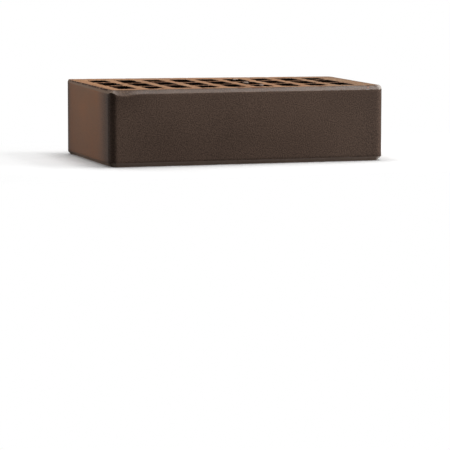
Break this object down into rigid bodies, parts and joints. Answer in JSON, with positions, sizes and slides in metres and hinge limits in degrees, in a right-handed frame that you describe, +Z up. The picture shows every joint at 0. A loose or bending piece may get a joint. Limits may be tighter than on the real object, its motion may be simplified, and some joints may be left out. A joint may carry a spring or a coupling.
{
  "type": "clay brick",
  "caption": "Perforated clay facing brick with bevelled bed edges, rounded upright corners and staggered slots straight through its height, laid in mortar.",
  "frame": {"origin": "middle of the lower bed face", "axes": "+X along the length, +Y from the front stretcher face to the back one, +Z up"},
  "size_m": [0.25, 0.12, 0.065],
  "materials": {
    "fired_clay": "matt, flash-fired dark brown with terracotta wire-cut bed faces"
  },
  "bodies": {
    "root": {"brick": "fired_clay"}
  },
  "joints": []
}
